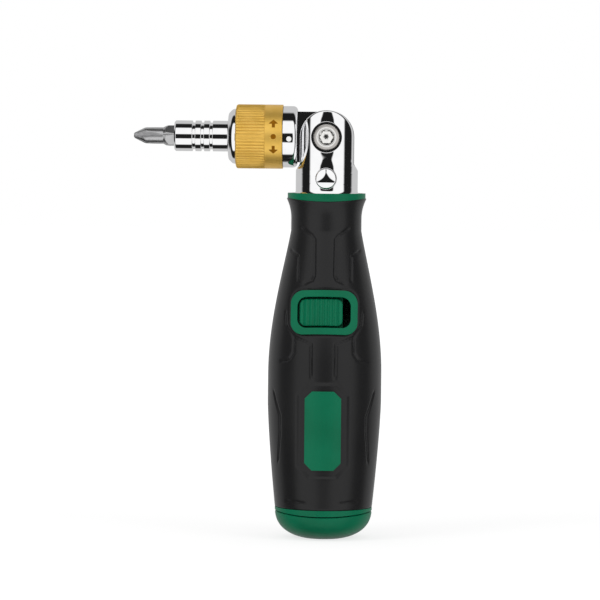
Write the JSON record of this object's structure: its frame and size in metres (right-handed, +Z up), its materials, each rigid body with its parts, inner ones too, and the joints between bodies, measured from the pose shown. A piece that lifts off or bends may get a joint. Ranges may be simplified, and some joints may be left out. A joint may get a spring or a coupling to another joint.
{
  "type": "ratcheting screwdriver",
  "caption": "Hand screwdriver with a folding ratchet head on a fork, a direction ring, a bit sleeve with a cross-point bit, and bits stored in a soft-grip handle.",
  "frame": {"origin": "middle of the end cap's foot, on the handle's axis", "axes": "+Z up along the handle; the folded head points to -X; the switch and the window plate face -Y"},
  "size_m": [0.0833, 0.038, 0.1442],
  "materials": {
    "green_plastic": "hard moulded plastic, green, satin",
    "soft_grip": "soft overmoulded elastomer, black, matt with a slight sheen",
    "carrier_plastic": "moulded plastic, black, matt",
    "chrome": "polished chrome plate",
    "gold_anodised": "gold anodised aluminium, knurled",
    "bit_steel": "bead blasted tool steel",
    "inner_steel": "turned and ground steel, oiled",
    "spring_steel": "spring wire",
    "bearing_bronze": "sintered bronze",
    "white_paint": "white paint dot"
  },
  "bodies": {
    "handle": {"handle_core": "green_plastic", "grip_sleeve": "soft_grip", "fork": "chrome", "stem_pin": "inner_steel", "pivot_screw": "chrome", "pivot_nut": "chrome", "latch_spring": "spring_steel", "ejector_spring": "spring_steel", "button_spring": "spring_steel", "plunger_spring": "spring_steel"},
    "latch": {"latch_slider": "green_plastic", "latch_plate": "inner_steel"},
    "magazine": {"end_cap": "green_plastic", "bit_carrier": "carrier_plastic", "catch_post": "inner_steel", "post_clip": "spring_steel", "spare_bits": "bit_steel"},
    "lock_button": {"lock_button": "chrome"},
    "lock_plunger": {"lock_plunger": "inner_steel"},
    "head": {"head_body": "chrome", "index_mark": "white_paint", "front_cap": "chrome", "rear_bush": "bearing_bronze", "front_bush": "bearing_bronze", "thrust_washer": "bearing_bronze", "detent_ball": "inner_steel", "detent_spring": "spring_steel", "pawl_pins": "inner_steel", "pawl_spring_a": "spring_steel", "pawl_spring_b": "spring_steel"},
    "selector": {"selector_ring": "gold_anodised"},
    "pawl_a": {"pawl_a": "inner_steel"},
    "pawl_b": {"pawl_b": "inner_steel"},
    "spindle": {"spindle": "inner_steel", "ratchet_gear": "inner_steel", "bit_sleeve": "chrome", "bit_magnet": "inner_steel", "bit_clip": "spring_steel"},
    "driver_bit": {"driver_bit": "bit_steel"}
  },
  "joints": [
    {"name": "latch_slide", "type": "slide", "parent": "handle", "child": "latch", "axis": [1, 0, 0], "range_m": [0, 0.0026], "stiffness_N_per_m": 400, "springref_m": -0.001, "deforming": ["latch_spring"]},
    {"name": "magazine_slide", "type": "slide", "parent": "handle", "child": "magazine", "axis": [0, 0, -1], "range_m": [0, 0.03], "deforming": ["ejector_spring"]},
    {"name": "button_press", "type": "slide", "parent": "handle", "child": "lock_button", "axis": [0, 1, 0], "range_m": [0, 0.0015], "stiffness_N_per_m": 600, "springref_m": -0.001, "deforming": ["button_spring"]},
    {"name": "plunger_drop", "type": "slide", "parent": "handle", "child": "lock_plunger", "axis": [0, 0, -1], "range_m": [0, 0.0015], "deforming": ["plunger_spring"]},
    {"name": "head_fold", "type": "hinge", "parent": "handle", "child": "head", "pos_m": [0, 0, 0.1335], "axis": [0, 1, 0], "range_deg": [0, 180]},
    {"name": "selector_turn", "type": "hinge", "parent": "head", "child": "selector", "pos_m": [0, 0, 0.1335], "axis": [-1, 0, 0], "range_deg": [-24, 24]},
    {"name": "spindle_turn", "type": "hinge", "parent": "head", "child": "spindle", "pos_m": [0, 0, 0.1335], "axis": [-1, 0, 0], "continuous": true},
    {"name": "pawl_a_lift", "type": "hinge", "parent": "head", "child": "pawl_a", "pos_m": [-0.0225, 0.00367, 0.13874], "axis": [-1, 0, 0], "range_deg": [0, 11], "stiffness_Nm_per_rad": 0.02, "springref_deg": -5.73, "deforming": ["pawl_spring_a"]},
    {"name": "pawl_b_lift", "type": "hinge", "parent": "head", "child": "pawl_b", "pos_m": [-0.0225, -0.00367, 0.13874], "axis": [1, 0, 0], "range_deg": [0, 11], "stiffness_Nm_per_rad": 0.02, "springref_deg": -5.73, "deforming": ["pawl_spring_b"]},
    {"name": "bit_pull", "type": "slide", "parent": "spindle", "child": "driver_bit", "axis": [-1, 0, 0], "range_m": [0, 0.014]}
  ],
  "couplings": [
    {"joint": "plunger_drop", "follows": "button_press", "ratio": 1}
  ]
}
